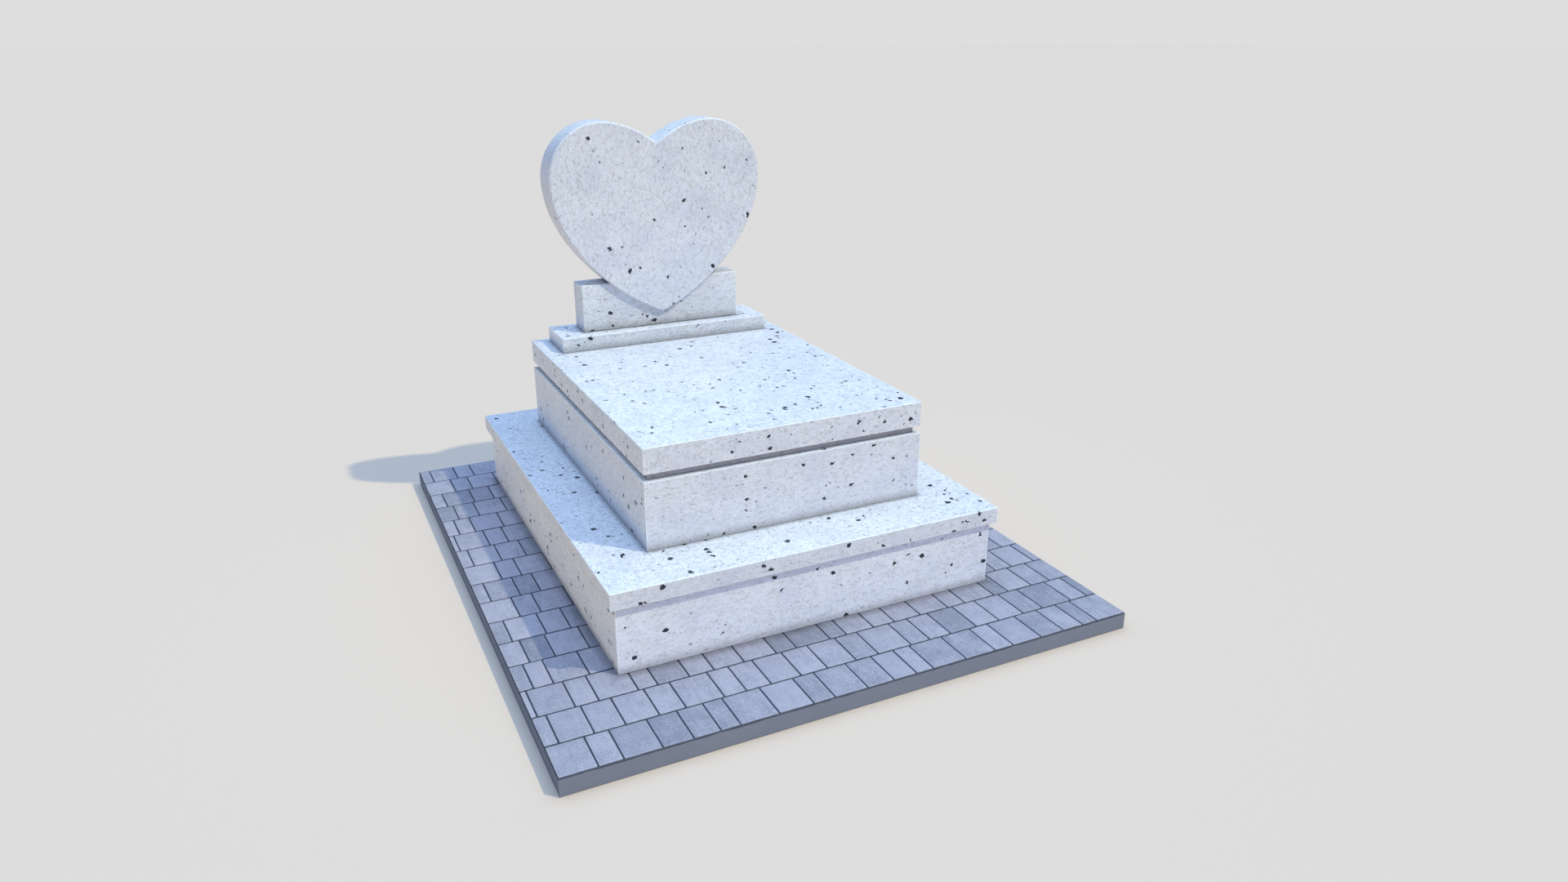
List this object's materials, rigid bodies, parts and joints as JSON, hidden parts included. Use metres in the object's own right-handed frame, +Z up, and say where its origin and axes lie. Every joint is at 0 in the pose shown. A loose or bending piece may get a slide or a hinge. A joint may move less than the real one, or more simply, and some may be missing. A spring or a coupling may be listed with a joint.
{
  "type": "headstone",
  "caption": "White granite grave monument: a heart-shaped headstone on a block and plinth, at the head of a stepped ledger tomb that stands on a paved base.",
  "frame": {"origin": "middle of the underside of the paved base, on the ground", "axes": "+Z up; -Y is the foot end, which the heart's face looks towards; +X to the right of someone who faces the heart"},
  "size_m": [2.227, 2.672, 1.8042],
  "materials": {
    "granite": "polished white granite with a fine grey mottle and scattered black flecks",
    "paver": "smooth slate-blue concrete pavers that vary in tone, with dark joints",
    "concrete": "plain grey cast concrete"
  },
  "bodies": {
    "root": {"base_bed": "concrete", "paver_course_01": "paver", "paver_course_02": "paver", "paver_course_03": "paver", "paver_course_04": "paver", "paver_course_05": "paver", "paver_course_06": "paver", "paver_course_07": "paver", "paver_course_08": "paver", "paver_course_09": "paver", "paver_course_10": "paver", "paver_course_11": "paver", "paver_course_12": "paver", "paver_course_13": "paver", "paver_course_14": "paver", "paver_course_15": "paver", "paver_course_16": "paver", "kerb_front": "granite", "kerb_right": "granite", "kerb_back": "granite", "kerb_left": "granite", "landing_slab": "granite", "chest_front": "granite", "chest_right": "granite", "chest_back": "granite", "chest_left": "granite", "recess_course": "granite", "ledger": "granite", "headstone_plinth": "granite", "headstone_block": "granite", "heart_stone": "granite"}
  },
  "joints": []
}
